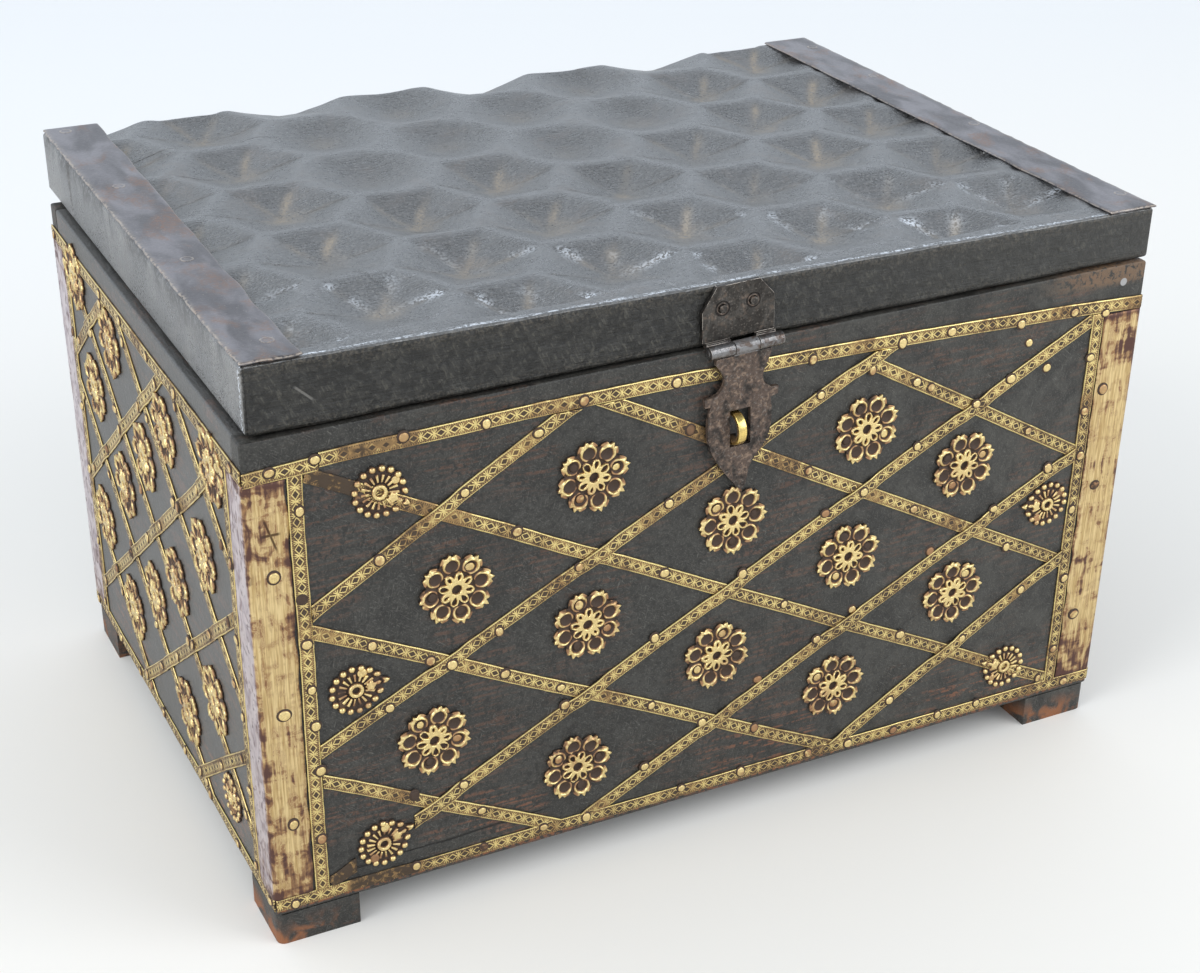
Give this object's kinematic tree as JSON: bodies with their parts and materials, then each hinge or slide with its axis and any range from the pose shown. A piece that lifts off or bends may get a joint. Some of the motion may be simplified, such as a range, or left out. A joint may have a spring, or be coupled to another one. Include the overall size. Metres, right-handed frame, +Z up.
{
  "type": "wooden chest",
  "caption": "Small hinged wooden chest with a honeycomb-carved lid, brass strapping in a diagonal lattice and an iron hasp over a brass staple.",
  "frame": {"origin": "middle of the whole box's footprint, on the plane the feet stand on", "axes": "+X to the right seen from the front, +Y from the front with the hasp to the back with the hinges, +Z up"},
  "size_m": [0.3038, 0.2242, 0.1893],
  "materials": {
    "case_wood": "nearly black stained hardwood, waxed, worn",
    "lid_wood": "nearly black stained hardwood, hand-carved and polished by use",
    "inside_wood": "bare brown wood",
    "brass_strip": "stamped strip brass with brown patina in the recesses",
    "brass_plate": "plain sheet brass with purple-brown stains",
    "staple_brass": "bright worn brass",
    "hasp_iron": "dark wrought iron, lightly rusted, worn bright on the barrel",
    "hinge_iron": "dark wrought iron",
    "lid_sheet": "dark oxidised metal sheet with reddish patches"
  },
  "bodies": {
    "box": {"front_board": "case_wood", "back_board": "case_wood", "left_board": "case_wood", "right_board": "case_wood", "floor_board": "inside_wood", "foot_front_left": "case_wood", "foot_front_right": "case_wood", "foot_back_right": "case_wood", "foot_back_left": "case_wood", "corner_plate_front_left": "brass_plate", "corner_plate_front_right": "brass_plate", "corner_plate_back_right": "brass_plate", "corner_plate_back_left": "brass_plate", "top_band_front": "brass_strip", "top_band_left": "brass_strip", "top_band_right": "brass_strip", "low_band_front": "brass_strip", "low_band_left": "brass_strip", "low_band_right": "brass_strip", "post_strip_front_a": "brass_strip", "post_strip_front_b": "brass_strip", "post_strip_left_a": "brass_strip", "post_strip_left_b": "brass_strip", "post_strip_right_a": "brass_strip", "post_strip_right_b": "brass_strip", "lattice_front_falling_1": "brass_strip", "lattice_front_falling_2": "brass_strip", "lattice_front_falling_3": "brass_strip", "lattice_front_falling_4": "brass_strip", "lattice_front_falling_5": "brass_strip", "lattice_front_rising_1": "brass_strip", "lattice_front_rising_2": "brass_strip", "lattice_front_rising_3": "brass_strip", "lattice_front_rising_4": "brass_strip", "lattice_front_rising_5": "brass_strip", "lattice_left": "brass_strip", "lattice_right": "brass_strip", "staple": "staple_brass", "hinge_left_case_leaf": "hinge_iron", "hinge_left_pin": "hinge_iron", "hinge_right_case_leaf": "hinge_iron", "hinge_right_pin": "hinge_iron"},
    "lid": {"lid_main_plank": "lid_wood", "lid_rear_plank": "lid_wood", "lid_strip_left": "lid_sheet", "lid_strip_right": "lid_sheet", "hinge_left_lid_leaf": "hinge_iron", "hinge_right_lid_leaf": "hinge_iron", "hasp_plate": "hasp_iron", "hasp_pin": "hasp_iron", "hasp_rivet_1": "hasp_iron", "hasp_rivet_2": "hasp_iron"},
    "hasp": {"hasp_leaf": "hasp_iron"}
  },
  "joints": [
    {"name": "lid_hinge", "type": "hinge", "parent": "box", "child": "lid", "pos_m": [-0.09248, 0.10315, 0.16608], "axis": [-0.9999, 0, -0.0133], "range_deg": [0, 100]},
    {"name": "hasp_swing", "type": "hinge", "parent": "lid", "child": "hasp", "pos_m": [0.00042, -0.10695, 0.16941], "axis": [-0.9991, 0, -0.0419], "range_deg": [0, 180]}
  ]
}
